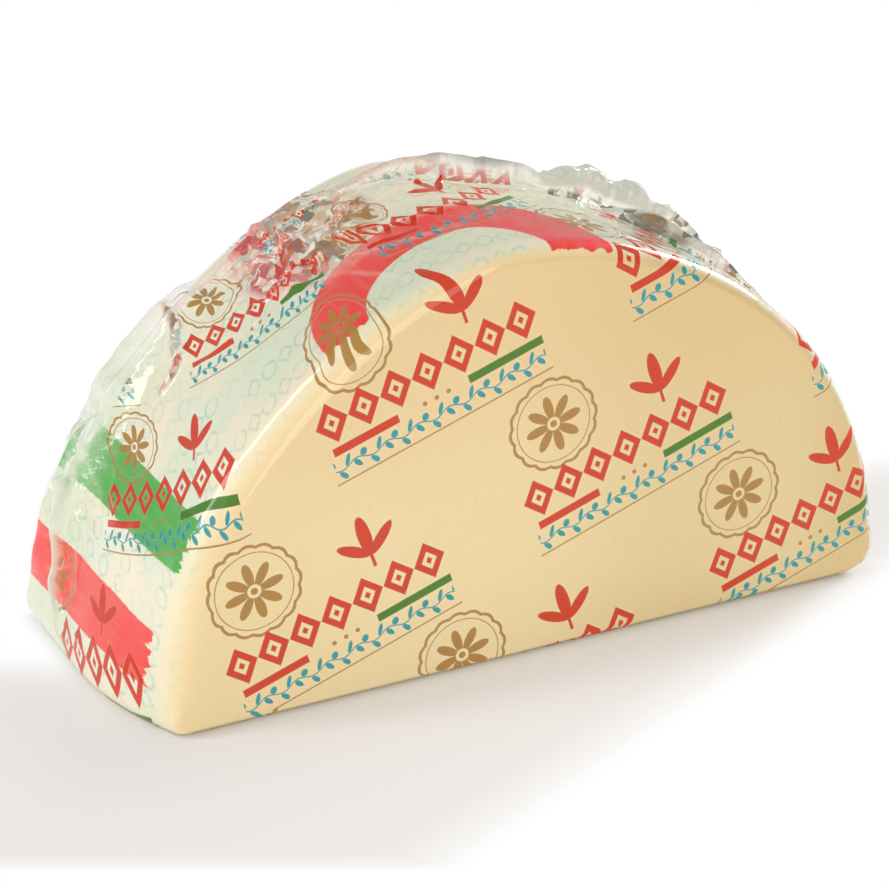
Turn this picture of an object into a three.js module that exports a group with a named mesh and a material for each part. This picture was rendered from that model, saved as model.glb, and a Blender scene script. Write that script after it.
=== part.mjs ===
// Half-moon block of provolone cheese, vacuum-packed in clear shrink film: the closed outer form of the bag.
// Millimetres, +Z up. The block stands on its long cut side, with the flat D-shaped cut face towards -Y.
// Origin: on the ground, under the middle of the block.
import * as THREE from 'three';
import { ParametricGeometry } from 'three/addons/geometries/ParametricGeometry.js';
import { mergeVertices } from 'three/addons/utils/BufferGeometryUtils.js';

// The cheese: a slice cut across a big round cheese, and halved.
const WIDTH = 272; // along the ground, with the spread of the left foot
const HEIGHT = 139.8; // ground to the crown of the rind
const DEPTH = 101.7; // cut face to cut face
const LEFT_REACH = 127.2; // crown to the left end, before the spread of the foot
const FOOT_SPREAD = 2; // the left end spreads this much more at the ground
const SPREAD_HEIGHT = 45; // and the spread ends this high
const RIGHT_ROUNDNESS = [1.92, 2.15]; // superellipse powers in x and z, full shoulder
const LEFT_ROUNDNESS = [1.58, 1.71]; // the other side slopes more
const RIGHT_FOOT = 12; // radius where the rind turns under, into the ground side
const LEFT_FOOT = 5;
const GROUND_EDGE = 5; // edge radius along the ground side
const RIM = 6; // edge radius between cut face and rind
const SOFT_RIM = 11; // the same on the left of the front, where the edge is softer
const FACE_BULGE = 0.8; // the cut faces are not quite flat
const CORNER_PULL = 14; // the lower left front corner is slumped inwards
const CORNER_REACH = 55; // how far from the front the slumped corner goes

// The film: loose film stands up in a gathered fin that wanders round the rind.
// Rows: place round the rind in degrees, 0 right foot, 90 about the crown, 180 left foot;
// distance of the fin from the middle of the depth, towards the back; its height; half its thickness.
const FIN = [
  [2, 20, 0, 2.0],
  [18, 19, 2.4, 2.2],
  [38, 17, 3.2, 2.4],
  [53, 15, 5.0, 3.0],
  [57, 14, 12.5, 4.6],
  [66, 15, 14.0, 5.2],
  [71, 13, 6.0, 3.6],
  [77, 12, 5.5, 2.6],
  [86, 18, 9.0, 2.4],
  [96, 27, 8.0, 2.2],
  [108, 36, 5.0, 2.6],
  [118, 37, 5.5, 3.2],
  [130, 35, 3.0, 2.4],
  [149, 34, 3.0, 2.8],
  [160, 31, 3.2, 2.4],
  [172, 22, 2.6, 2.0],
  [178, 19, 0, 2.0],
];
// A second, short ridge bridges from the bunched end of the fin down to the front rim.
const BRIDGE = [
  [40, -38, 0, 2.0],
  [47, -33, 3.0, 2.4],
  [52, -22, 6.5, 2.6],
  [57, -10, 8.5, 3.0],
  [61, -3, 6.0, 3.0],
  [65, -1, 0, 2.0],
];
// Along the back rim the film also stands off the rind in a broad puff. Rows: place, height.
const PUFF = [
  [100, 0],
  [122, 2.0],
  [134, 7.0],
  [146, 7.5],
  [156, 3.2],
  [172, 0.6],
  [180, 0],
];
const PUFF_START = 16; // distance behind the middle of the depth at which the puff begins
const CRUMPLE_PITCH = 11; // distance between the crumples along a fin
const CRUMPLE_SWING = 0.17; // how far the crest wanders, as a share of its height
const CRUMPLE_DIP = 0.16; // how much the crest goes up and down, as a share of its height

// How finely the form is divided.
const ARC_STEPS = 112; // round the rind
const GROUND_STEPS = 14; // along the ground side
const RIM_STEPS = 4; // across an edge
const FACE_RINGS = [0, 0.5, 0.88]; // rings of a cut face, as shares of the way to its edge
const FRONT_SHARES = [0.25, 0.5, 0.75]; // rows between the front rim and the first ridge
const BACK_SHARES = [0.5]; // rows between the fin and the back rim
// Section of a ridge: places across it in half-thicknesses, and heights as shares of the full height.
const RIDGE_PROFILE = [[-1.5, 0], [-0.62, 0.62], [0, 1], [0.62, 0.62], [1.5, 0]];

const HALF_WIDTH = WIDTH / 2;
const HALF_DEPTH = DEPTH / 2;
const CROWN_X = LEFT_REACH + FOOT_SPREAD - HALF_WIDTH; // the crown stands a little left of the middle

// The arc of the rind, seen from the front, from the right foot over the crown to the left foot.
class RindArc extends THREE.Curve {
  getPoint(t, target = new THREE.Vector3()) {
    const angle = Math.PI * t;
    const side = Math.cos(angle) < 0 ? -1 : 1;
    const [powerX, powerZ] = side < 0 ? LEFT_ROUNDNESS : RIGHT_ROUNDNESS;
    const reach = side < 0 ? LEFT_REACH : HALF_WIDTH - CROWN_X;
    const z = HEIGHT * Math.abs(Math.sin(angle)) ** (2 / powerZ);
    let x = CROWN_X + side * reach * Math.abs(Math.cos(angle)) ** (2 / powerX);
    if (side < 0) x -= FOOT_SPREAD * (1 - THREE.MathUtils.smoothstep(z, 0, SPREAD_HEIGHT));
    const foot = side < 0 ? LEFT_FOOT : RIGHT_FOOT;
    if (z < foot) {
      x -= side * (foot - Math.sqrt(foot ** 2 - (foot - z) ** 2));
    }
    return target.set(x, 0, z);
  }
}

// The closed outline: points with their outward direction in the plane of the cut face.
function closedOutline() {
  const arc = new RindArc();
  arc.arcLengthDivisions = 1500;
  const points = [];
  for (let i = 0; i <= ARC_STEPS; i++) {
    const t = arc.getUtoTmapping(i / ARC_STEPS);
    points.push({ at: arc.getPoint(t), place: 180 * t, along: arc.getLength() * (i / ARC_STEPS) });
  }
  const left = points[ARC_STEPS].at.x;
  const right = points[0].at.x;
  for (let i = 1; i < GROUND_STEPS; i++) {
    const x = THREE.MathUtils.lerp(left, right, i / GROUND_STEPS);
    points.push({ at: new THREE.Vector3(x, 0, 0), place: null, share: i / GROUND_STEPS });
  }
  points.forEach((point, i) => {
    const before = points.at(i - 1).at;
    const after = points[(i + 1) % points.length].at;
    point.out = new THREE.Vector3(after.z - before.z, 0, before.x - after.x).normalize();
  });
  return points;
}

// Depth at which a ridge crosses a point of the outline; under the ground side it only joins its two ends.
function ridgeDepth(table, point) {
  if (point.place !== null) return lookUp(table, point.place, 1);
  return THREE.MathUtils.lerp(table.at(-1)[1], table[0][1], point.share);
}

// Smooth value between the rows of a table whose first column is the place round the rind.
function lookUp(table, place, column) {
  if (place <= table[0][0]) return table[0][column];
  for (let i = 1; i < table.length; i++) {
    if (place <= table[i][0]) {
      const share = THREE.MathUtils.smoothstep(place, table[i - 1][0], table[i][0]);
      return THREE.MathUtils.lerp(table[i - 1][column], table[i][column], share);
    }
  }
  return table[table.length - 1][column];
}

// Edge radius between a cut face (side -1 front, 1 back) and the rind or the ground side.
function edgeRadius(point, side) {
  if (point.place === null) return GROUND_EDGE;
  const softness = side < 0 ? THREE.MathUtils.smoothstep(point.place, 75, 150) : 0;
  const rim = THREE.MathUtils.lerp(RIM, SOFT_RIM, softness);
  const above = THREE.MathUtils.smoothstep(point.at.z, LEFT_FOOT, 4 * LEFT_FOOT);
  return THREE.MathUtils.lerp(GROUND_EDGE, rim, above);
}

// How far the broad puff lifts the film off the rind.
function puff(point, depth) {
  if (point.place === null) return 0;
  return lookUp(PUFF, point.place, 1) * THREE.MathUtils.smoothstep(depth, PUFF_START, HALF_DEPTH - RIM);
}

// Crumples of the loose film, between -1 and 1, along the rind.
function crumple(along, shift) {
  const turn = (2 * Math.PI * along) / CRUMPLE_PITCH;
  return 0.55 * Math.sin(turn + shift) + 0.45 * Math.sin(0.57 * turn + 2.3 * shift);
}

// A row crosses the surface at one station: for a point of the outline it gives the depth there, and how far
// the film lies outside the outline.
const rimRow = (side, step) => (point) => {
  const turn = (Math.PI / 2) * (step / RIM_STEPS);
  const radius = edgeRadius(point, side);
  const depth = side * (HALF_DEPTH - radius * (1 - Math.cos(turn)));
  return [depth, puff(point, HALF_DEPTH * side) * Math.sin(turn) ** 2 - radius * (1 - Math.sin(turn))];
};

const ridgeRow = (table, shift, [across, lift]) => (point) => {
  if (point.place === null) return [ridgeDepth(table, point) + across * table[0][3], 0];
  const height = lookUp(table, point.place, 2);
  const swing = CRUMPLE_SWING * height * crumple(point.along, shift) * lift;
  const dip = 1 - CRUMPLE_DIP * (1 + crumple(point.along, shift + 1.9));
  const depth = ridgeDepth(table, point) + across * lookUp(table, point.place, 3) + swing;
  return [depth, height * dip * lift + puff(point, depth)];
};

// A plain row on the tight film, part of the way from one row to another.
const plainRow = (from, to, share) => (point) => {
  const depth = THREE.MathUtils.lerp(from(point)[0], to(point)[0], share);
  return [depth, puff(point, depth)];
};

// All rows, from the middle of the front face to the middle of the back face.
function crossingRows() {
  const steps = [...Array(RIM_STEPS + 1).keys()];
  const frontRim = steps.map((step) => rimRow(-1, step));
  const bridge = RIDGE_PROFILE.map((spot) => ridgeRow(BRIDGE, 0.4, spot));
  const fin = RIDGE_PROFILE.map((spot) => ridgeRow(FIN, 1.3, spot));
  const backRim = steps.toReversed().map((step) => rimRow(1, step));
  return [
    ...FACE_RINGS.map((share) => ({ face: -1, share })),
    ...frontRim,
    ...FRONT_SHARES.map((share) => plainRow(frontRim.at(-1), bridge[0], share)),
    ...bridge,
    ...fin,
    ...BACK_SHARES.map((share) => plainRow(fin.at(-1), backRim[0], share)),
    ...backRim,
    ...FACE_RINGS.toReversed().map((share) => ({ face: 1, share })),
  ];
}

// How far the slumped corner pulls a point towards the middle.
function cornerPull(at, depth) {
  const fromFront = depth + HALF_DEPTH;
  const leftness = THREE.MathUtils.smoothstep(-at.x, 0.45 * HALF_WIDTH, HALF_WIDTH);
  const lowness = 1 - THREE.MathUtils.smoothstep(at.z, 0, 0.55 * HEIGHT);
  const nearness = Math.max(0, 1 - fromFront / CORNER_REACH);
  return CORNER_PULL * leftness * lowness * nearness ** 2;
}

// One closed skin: u goes round the outline backwards, v crosses from the front face to the back face.
function bagGeometry() {
  const outline = closedOutline();
  const rows = crossingRows();
  const middle = new THREE.Vector3(CROWN_X, 0, 0.42 * HEIGHT);
  const place = (u, v, target) => {
    const point = outline[Math.round((1 - u) * outline.length) % outline.length];
    const row = rows[Math.round(v * (rows.length - 1))];
    if (row.face) {
      const inset = point.at.clone().addScaledVector(point.out, -edgeRadius(point, row.face));
      target.lerpVectors(middle, inset, row.share);
      target.y = row.face * (HALF_DEPTH + FACE_BULGE * (1 - row.share ** 2));
    } else {
      const [depth, lift] = row(point);
      target.copy(point.at).addScaledVector(point.out, lift);
      target.y = depth;
    }
    target.x += cornerPull(target, target.y);
  };
  const grid = new ParametricGeometry(place, outline.length, rows.length - 1);
  grid.deleteAttribute('normal');
  grid.deleteAttribute('uv');
  const skin = mergeVertices(grid, 1e-3);
  const corners = [];
  for (let i = 0; i < skin.index.count; i += 3) {
    const [a, b, c] = [0, 1, 2].map((k) => skin.index.getX(i + k));
    if (a !== b && b !== c && c !== a) corners.push(a, b, c);
  }
  skin.setIndex(corners);
  skin.computeVertexNormals();
  return skin;
}

const creamUnderFilm = new THREE.MeshStandardMaterial({ color: 0xead2a1, roughness: 0.22, metalness: 0 });

const provolone = new THREE.Group();
const wrappedCheese = new THREE.Mesh(bagGeometry(), creamUnderFilm);
wrappedCheese.name = 'wrapped_cheese';
provolone.add(wrappedCheese);

export default provolone;
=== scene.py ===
"""Half-moon block of provolone, vacuum-packed in clear, printed shrink film."""
import math

import bmesh
import bpy
import numpy as np
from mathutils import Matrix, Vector


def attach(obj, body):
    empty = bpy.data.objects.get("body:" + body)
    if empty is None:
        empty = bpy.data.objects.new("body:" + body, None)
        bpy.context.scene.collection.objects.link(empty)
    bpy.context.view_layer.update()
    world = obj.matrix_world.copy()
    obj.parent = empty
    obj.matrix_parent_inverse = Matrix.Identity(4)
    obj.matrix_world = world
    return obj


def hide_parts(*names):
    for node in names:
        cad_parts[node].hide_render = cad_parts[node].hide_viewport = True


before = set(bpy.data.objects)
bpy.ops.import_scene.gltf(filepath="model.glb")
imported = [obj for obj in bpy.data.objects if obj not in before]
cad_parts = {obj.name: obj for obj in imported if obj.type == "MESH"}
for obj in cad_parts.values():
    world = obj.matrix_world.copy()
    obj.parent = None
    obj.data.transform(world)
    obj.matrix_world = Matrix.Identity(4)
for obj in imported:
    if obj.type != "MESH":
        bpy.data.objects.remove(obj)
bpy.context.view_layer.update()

MM = 0.001

# ---------------------------------------------------------------- the block's form, in millimetres
WIDTH = 272                      # along the ground
LEFT_REACH = 127.2               # crown to the left end, before the spread of the foot
FOOT_SPREAD = 2                  # the left end spreads this much more at the ground
SPREAD_HEIGHT = 45               # and the spread ends this high
HEIGHT = 139.8                   # ground to the crown of the rind
DEPTH = 101.7                    # cut face to cut face
RIGHT_ROUNDNESS = (1.92, 2.15)   # superellipse powers in x and z
LEFT_ROUNDNESS = (1.58, 1.71)
RIGHT_FOOT = 12                  # radius where the rind turns under
LEFT_FOOT = 5
GROUND_EDGE = 3                  # edge radius along the ground side
RIM = 6                          # edge radius between cut face and rind
SOFT_RIM = 11                    # the same on the left of the front
SOFT_RIM_FROM = (75, 150)        # places round the rind between which the rim turns soft
FACE_BULGE = 0.8                 # the cut faces are not quite flat
CORNER_PULL = 14                 # the lower left front corner is slumped inwards
CORNER_REACH = 55                # how far from the front the slumped corner goes
CORNER_SIDE = 0.45               # it starts this share of the half width from the middle
CORNER_TOP = 0.55                # and this share of the height up
ARC_SAMPLES = 8001               # the rind's length is measured over this many places
HALF_WIDTH = WIDTH / 2
HALF_DEPTH = DEPTH / 2
CROWN_X = LEFT_REACH + FOOT_SPREAD - HALF_WIDTH
FACE_MIDDLE = (CROWN_X, 0.42 * HEIGHT)
UNROLL_MIDDLE = (CROWN_X, 35)    # the film's print spreads outwards from here, over the rims

# Loose film. Rows: place round the rind in degrees (0 right foot, 90 crown, 180 left foot),
# depth behind the middle, height, half thickness.
FIN = ((2, 20, 0, 1.2), (18, 19, 6.0, 1.2), (38, 17, 9.4, 1.2), (46, 16, 11.2, 1.5), (49, 15, 11.0, 1.8),
       (53, 15, 11.2, 2.2), (57, 14, 11.8, 2.6), (63, 15, 10.2, 2.6), (66, 15, 12.0, 2.6), (71, 13, 6.0, 1.8),
       (75, 12, 8.0, 1.4), (81, 13, 9.8, 1.4), (86, 18, 10.2, 1.0), (91, 23, 9.6, 1.0), (96, 27, 6.8, 1.0),
       (104, 33, 1.8, 1.2), (108, 36, 1.2, 1.2), (112, 37, 1.4, 1.3), (116, 37, 4.6, 1.4),
       (124, 37, 2.2, 1.6), (134, 35, 1.0, 1.8), (144, 34, 1.4, 2.0), (152, 34, 3.4, 2.0),
       (160, 32, 3.6, 2.2), (167, 25, 3.4, 2.2), (173, 17, 2.6, 2.0), (178, 10, 0, 1.2))
BRIDGE = ((20, -12, 0, 1.2), (40, -36, 0, 1.2), (47, -33, 3.0, 1.3), (52, -22, 6.0, 1.4), (57, -10, 7.5, 1.6),
          (61, -3, 5.0, 1.6), (65, -1, 0, 1.4))
# At the left the film also stands off the rind in a broad puff. Rows: place, height at the back rim.
PUFF = ((112, 0), (125.5, 0.3), (129, 4.2), (133, 6.2), (139, 6.6), (143, 7.9), (146, 5.8), (151, 5.0),
        (155, 4.8), (160, 5.4), (166, 3.4), (173, 1.0), (180, 0))
PUFF_START = 16              # depth behind the middle at which the puff begins to rise
FILLED_FROM = (146, 151)     # from here on, round the rind, the puff is cheese, not loose film


def smooth_step(value, low, high):
    share = np.clip((value - low) / (high - low), 0, 1)
    return share * share * (3 - 2 * share)


def look_up(table, places, column):
    """Smooth values between the rows of a table whose first column is the place round the rind."""
    stops = [row[0] for row in table]
    values = [row[column] for row in table]
    places = np.clip(places, stops[0], stops[-1])
    after = np.clip(np.searchsorted(stops, places), 1, len(stops) - 1)
    low, high = np.take(stops, after - 1), np.take(stops, after)
    share = smooth_step(places, low, high)
    return np.take(values, after - 1) * (1 - share) + np.take(values, after) * share


def rind_arc(turn):
    """The rind seen from the front, for turns from 0, the right foot, to 1, the left foot."""
    cosine, sine = np.cos(np.pi * turn), np.sin(np.pi * turn)
    left = cosine < 0
    side = np.where(left, -1, 1)
    power_x, power_z = (np.where(left, a, b) for a, b in zip(LEFT_ROUNDNESS, RIGHT_ROUNDNESS))
    reach = np.where(left, LEFT_REACH, HALF_WIDTH - CROWN_X)
    z = HEIGHT * np.abs(sine) ** (2 / power_z)
    x = CROWN_X + side * reach * np.abs(cosine) ** (2 / power_x)
    x = x - left * FOOT_SPREAD * (1 - smooth_step(z, 0, SPREAD_HEIGHT))
    foot = np.where(left, LEFT_FOOT, RIGHT_FOOT)
    tuck = foot - np.sqrt(np.maximum(foot ** 2 - np.maximum(foot - z, 0) ** 2, 0))
    return x - side * tuck, z


class Outline:
    """The closed outline of the block: rind, then ground side, as arrays with one value for each station."""

    def __init__(self, arc_steps, ground_steps):
        fine = np.linspace(0, 1, ARC_SAMPLES)
        x, z = rind_arc(fine)
        lengths = np.concatenate([[0], np.cumsum(np.hypot(np.diff(x), np.diff(z)))])
        along = np.linspace(0, lengths[-1], arc_steps + 1)
        turns = np.interp(along, lengths, fine)
        x, z = rind_arc(turns)
        ground = np.linspace(x[-1], x[0], ground_steps + 1)[1:-1]
        self.count = arc_steps + ground_steps
        self.on_rind = np.arange(self.count) <= arc_steps
        self.x = np.concatenate([x, ground])
        self.z = np.concatenate([z, 0 * ground])
        self.place = np.concatenate([180 * turns, 180 * (1 - (ground - x[-1]) / (x[0] - x[-1]))])
        self.along = np.concatenate([along, lengths[-1] + ground - x[-1]])
        self.arc_length = lengths[-1]
        step_x = np.roll(self.x, -1) - np.roll(self.x, 1)
        step_z = np.roll(self.z, -1) - np.roll(self.z, 1)
        self.out_x, self.out_z = step_z / np.hypot(step_x, step_z), -step_x / np.hypot(step_x, step_z)

    def edge_radius(self, side):
        softness = smooth_step(self.place, *SOFT_RIM_FROM) if side < 0 else 0
        above = smooth_step(self.z, LEFT_FOOT, 4 * LEFT_FOOT)
        radius = GROUND_EDGE + above * (RIM + (SOFT_RIM - RIM) * softness - GROUND_EDGE)
        return np.where(self.on_rind, radius, GROUND_EDGE)

    def puff(self, depth):
        return self.on_rind * look_up(PUFF, self.place, 1) * smooth_step(depth, PUFF_START, HALF_DEPTH - RIM)

    def filled(self):
        """How far the cheese itself fills the puff."""
        return smooth_step(self.place, *FILLED_FROM)


def corner_pull(x, y, z):
    leftness = smooth_step(-x, CORNER_SIDE * HALF_WIDTH, HALF_WIDTH)
    lowness = 1 - smooth_step(z, 0, CORNER_TOP * HEIGHT)
    nearness = np.maximum(0, 1 - (y + HALF_DEPTH) / CORNER_REACH)
    return CORNER_PULL * leftness * lowness * nearness ** 2


def face_row(outline, side, share, gap=0.0):
    radius = outline.edge_radius(side)
    x = FACE_MIDDLE[0] + share * (outline.x - outline.out_x * radius - FACE_MIDDLE[0])
    z = FACE_MIDDLE[1] + share * (outline.z - outline.out_z * radius - FACE_MIDDLE[1])
    y = np.full(outline.count, side * (HALF_DEPTH + FACE_BULGE * (1 - share ** 2) - gap))
    return np.stack([x + corner_pull(x, y, z), y, z], -1)


def skin_row(outline, depth, lift):
    x = outline.x + outline.out_x * lift
    z = outline.z + outline.out_z * lift
    return np.stack([x + corner_pull(x, depth, z), depth, z], -1)


def rim_row(outline, side, turn, gap=0.0, puffed=0.0):
    """Depth and lift of a row along the rim. turn goes from 0 at the cut face to 1 at the rind."""
    radius = outline.edge_radius(side)
    angle = turn * math.pi / 2
    depth = side * (HALF_DEPTH - radius * (1 - math.cos(angle)) - gap * math.cos(angle))
    lift = -radius * (1 - math.sin(angle)) - gap * math.sin(angle)
    lift = lift + puffed * outline.puff(np.full(outline.count, side * HALF_DEPTH)) * math.sin(angle) ** 2
    return depth, lift


# ---------------------------------------------------------------- making meshes
def finish_mesh(bm, name):
    """A smooth-shaded object at the origin, with its doubles merged and its faces outwards."""
    bmesh.ops.remove_doubles(bm, verts=bm.verts, dist=1e-6)
    bmesh.ops.recalc_face_normals(bm, faces=bm.faces)
    for face in bm.faces:
        face.smooth = True
    mesh = bpy.data.meshes.new(name)
    bm.to_mesh(mesh)
    bm.free()
    piece = bpy.data.objects.new(name, mesh)
    bpy.context.scene.collection.objects.link(piece)
    return piece


def wrap_grid(name, points, uv_maps, values):
    """A flat grid wrapped into a closed skin.

    points[row, station] are places in millimetres, and the stations close on themselves.
    values[name][row, station] become attributes, and uv_maps[name] gives the UV of a corner from
    its row, its station, the first row of its face, and whether its station is the wrapped one.
    """
    rows, stations = points.shape[:2]
    bm = bmesh.new()
    bmesh.ops.create_grid(bm, x_segments=stations, y_segments=rows - 1, size=0.5)
    layers = {key: bm.verts.layers.float.new(key) for key in values}
    spots = {}
    for vertex in bm.verts:
        station = round((vertex.co.x + 0.5) * stations)
        row = round((vertex.co.y + 0.5) * (rows - 1))
        spots[vertex] = row, station
        vertex.co = points[row, station % stations] * MM
        for key, layer in layers.items():
            vertex[layer] = values[key][row, station % stations]
    for key, place in uv_maps.items():
        uv_layer = bm.loops.layers.uv.new(key)
        for face in bm.faces:
            first_row = min(spots[v][0] for v in face.verts)
            for loop in face.loops:
                row, station = spots[loop.vert]
                loop[uv_layer].uv = place(row, station % stations, first_row, station >= stations)
    return finish_mesh(bm, name)


# ---------------------------------------------------------------- the cheese itself
CHEESE_GAP = 0.45        # the film lies this far outside the cheese
FACE_SHARES = (0, 0.12, 0.25, 0.38, 0.5, 0.6, 0.7, 0.78, 0.85, 0.91, 0.96)
RIM_STEPS = 7
RIM_TURNS = [step / RIM_STEPS for step in range(RIM_STEPS + 1)]
RIND_FROM = (0.1, 0.75)  # paste turns into rind between these turns of the rim
FLAT_ROWS = 34           # from rim to rim


def path_lengths(points, first, last):
    """Distance along the skin from row first to each further row, for every station."""
    step = 1 if last > first else -1
    lengths = np.zeros(points.shape[:2])
    for row in range(first + step, last + step, step):
        lengths[row] = lengths[row - step] + np.linalg.norm(points[row] - points[row - step], axis=-1)
    return lengths


def grid_normals(points):
    """Outward directions at every place of a grid that closes on itself from station to station."""
    down = np.gradient(points, axis=0)
    round_it = np.roll(points, -1, axis=1) - np.roll(points, 1, axis=1)
    normals = np.cross(down, round_it)
    return normals / np.maximum(np.linalg.norm(normals, axis=-1, keepdims=True), 1e-9)


def cheese_block():
    outline = Outline(arc_steps=230, ground_steps=60)
    filled = outline.filled()
    front, back = [
        [face_row(outline, side, share, CHEESE_GAP) for share in FACE_SHARES]
        + [skin_row(outline, *rim_row(outline, side, turn, CHEESE_GAP, filled)) for turn in RIM_TURNS]
        for side in (-1, 1)]
    middle = []
    for share in np.linspace(0, 1, FLAT_ROWS + 1)[1:-1]:
        depth = front[-1][:, 1] * (1 - share) + back[-1][:, 1] * share
        middle.append(skin_row(outline, depth, filled * outline.puff(depth) - CHEESE_GAP))
    points = np.array(front + middle + back[::-1])
    edge = [0] * len(FACE_SHARES) + [smooth_step(turn, *RIND_FROM) for turn in RIM_TURNS]
    on_rind = np.array(edge + [1] * len(middle) + edge[::-1])[:, None] * outline.on_rind
    rim_end = len(front) - 1
    across = path_lengths(points, 0, len(points) - 1)
    across = across - across[rim_end] + points[rim_end, :, 1]
    total = outline.arc_length + outline.x[0] - outline.x[outline.on_rind][-1]

    def rind_place(row, station, _, wrapped):
        return (total if wrapped else outline.along[station]) * MM, across[row, station] * MM

    return wrap_grid("cheese_block", points, {"rind": rind_place}, {"on_rind": on_rind})


# ---------------------------------------------------------------- the film
# Long creases in the film. Each: places round the rind and depths, then height and half width.
CREASES = (
    (((118, 4), (112.8, -4.3), (106.8, -15.8), (99.9, -21.4), (90, -25)), 1.0, 1.0),
    (((118, 10), (111, 6.4), (101.6, -6.4), (90, -7), (81.3, -3.8)), 1.1, 1.0),
    (((112, 14), (104, 10), (96, 6), (86, 4)), 0.7, 1.0),
    (((110, 22), (102, 19), (94, 12)), 0.8, 1.0),
    (((116, -6), (112.5, -18), (110, -30), (108, -42)), 0.6, 0.9),
    (((124, -2), (130, 4), (136, 10)), 0.7, 0.9),
    (((131, 33), (133, 22), (136, 10), (138, 2)), 1.0, 1.0),
    (((152, 44), (156, 32), (161, 20), (167, 10)), 0.7, 1.2),
    (((149, 44), (150, 36), (153, 26), (154, 14)), 0.9, 1.0),
    (((66, 11), (61, -2), (56, -18), (53, -34), (52, -44)), 0.9, 1.3),
    (((63, 9), (54, -2), (47, -16), (43, -30), (41, -42)), 0.8, 1.2),
    (((58, 10), (46, 4), (37, -4), (30, -10)), 0.7, 1.1),
    (((70, 9), (72, -4), (71, -18), (68, -30)), 0.5, 1.0),
    (((76, 9), (82, -2), (86, -16), (87, -28)), 0.5, 0.9),
    (((36, 14), (30, 4), (27, -8)), 0.5, 1.0),
    (((170, 14), (172, 2), (174, -12)), 0.6, 1.1),
    (((20, 14), (17, 2), (15, -14)), 0.5, 1.0),
)
PINCH = (((131, 44), (132, 29), (133.6, 26), (135, 18), (138, 16), (140.4, 16)), 2.2, 2.0)   # a deeper one
GATHER_SPOTS = 74        # places along the fin's foot from which short gathers run out
GATHER_PLACES = (10, 172)
BUNCH = (113, 19)        # place and depth of the crumpled bunch
BUNCH_REACH = (23, 27)   # its half lengths, along and across, in millimetres
BUNCH_EDGE = 2.6         # how sharply it ends
BUNCH_BACK = (26, 38)    # the bunch turns flatter between these depths
BUNCH_PLEATS = 17
STAR = (152, 37)         # place and depth of the knot at the left end
STAR_REACH = (16, 11)
STAR_PLEATS = 15
TAIL_START, TAIL_END = (51, 54), (70, 72)        # places; between them the fin is bunched into lumps
LEFT_FIN = (140, 156)    # from here on, round the rind, the fin is milkier
CLEAR_OF_RIM = (1, 9)    # creases begin between these distances from the cut faces
FEET = (2, 16)           # and between these heights above the ground
SKIN_STEPS = (434, 60)   # stations along the rind and along the ground
BRIDGE_ROWS, FIN_ROWS = 9, 17
TIGHT_ROWS = (28, 30, 18)            # before the bridge, before the fin and behind the fin
FIRST_ROW = len(FACE_SHARES)         # of the film over the rims and the rind, in the whole grid


def triangle_wave(turn):
    return np.abs(turn % 2 - 1) * 2 - 1


def crumples(along, across, size, seed, folds=7):
    """Flat facets between sharp folds, as in crumpled film; about -1 to 1."""
    chance = np.random.default_rng(seed)
    total = 0
    for _ in range(folds):
        heading, start, bend = chance.uniform(0, np.pi), chance.uniform(0, 2), chance.uniform(0, 6)
        pitch = size * chance.uniform(0.6, 1.7)
        turn = (along * np.cos(heading) + across * np.sin(heading)) / pitch + start
        sideways = (across * np.cos(heading) - along * np.sin(heading)) / (1.9 * size)
        total = total + triangle_wave(turn + 0.35 * np.sin(sideways + bend))
    return total / math.sqrt(folds)


def swells(along, across, size, seed, waves=7):
    """Soft, rounded unevenness; about -1 to 1."""
    chance = np.random.default_rng(seed)
    total = 0
    for _ in range(waves):
        heading, start = chance.uniform(0, np.pi), chance.uniform(0, 6.3)
        pitch = size * chance.uniform(0.6, 1.7)
        turn = (along * np.cos(heading) + across * np.sin(heading)) / pitch
        total = total + np.sin(2 * np.pi * turn + start)
    return total / math.sqrt(waves) * 0.8


def bell(value, middle, half, power=2):
    """1 at the middle, falling away on both sides."""
    return np.exp(-(np.abs(value - middle) / half) ** power)


# How high each zone of the film stands off, and how its pleats do, in millimetres
RISE = {"creases": 1, "bunch": 1.2, "star": 0.8, "tail": 0.7, "taut": 0.16}
PLEAT_RISE = {"pleats": 1.5, "pleat_edges": 0.5, "strands": 1.0}
# Unevenness. Rows: zone, height, kind, size, seed, and how far its lift counts as distance across.
RUMPLES = (
    ("crushed", 1.0, crumples, 4.5, 13, 0),
    ("star", 1.6, crumples, 7, 4, 0),
    ("star", 0.7, crumples, 3.5, 44, 0),
    ("tail", 0.9, swells, 21, 5, 1.5),
    ("tail", 0.35, crumples, 9, 51, 1.5),
    ("crest", 0.35, crumples, 12, 6, 1.3),
    ("puffed", 0.55, swells, 26, 7, 0),
    ("puffed", 0.3, crumples, 14, 8, 0),
    ("taut", 0.16, swells, 24, 9, 0),
)
PEAKS = (8, 3)           # size and seed of the bunch's main crumples
PEAK_HEIGHT = 2.3
PEAK_LIMITS = (-0.7, 1.2)
LAPS = {"crushed": 0.9, "star": 0.7}     # how far the crumples lean over sideways
LAP_SIZE = 6
PRESSED_IN = 0.25        # film that lies on the cheese is pressed in by this much at most
RIM_CALM = 0.3           # share of the creases left on the rims
# How milky and how creased the film is in its zones, for its material
TIGHT_HAZE, FACE_HAZE = 0.035, 0.02
MILKY = {"puffed": 0.7, "loose": 0.72, "bunch": 0.26, "star": 0.5, "tail": 0.7, "ridges": 0.35,
         "pinched": 0.12, "left_fin": 0.25}
CREASED = {"clear": 0.12, "bunch": 1, "star": 1.3, "loose": 0.6, "puffed": 0.4, "pinch": 0.4,
           "pleat_edges": 0.5, "strand_edges": 0.6}
TIGHT_END = (147, 150)   # from here on, round the rind, the film behind the fin is tight and clear
BEHIND_FIN = (5, 9)      # this far behind the fin's middle
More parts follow.
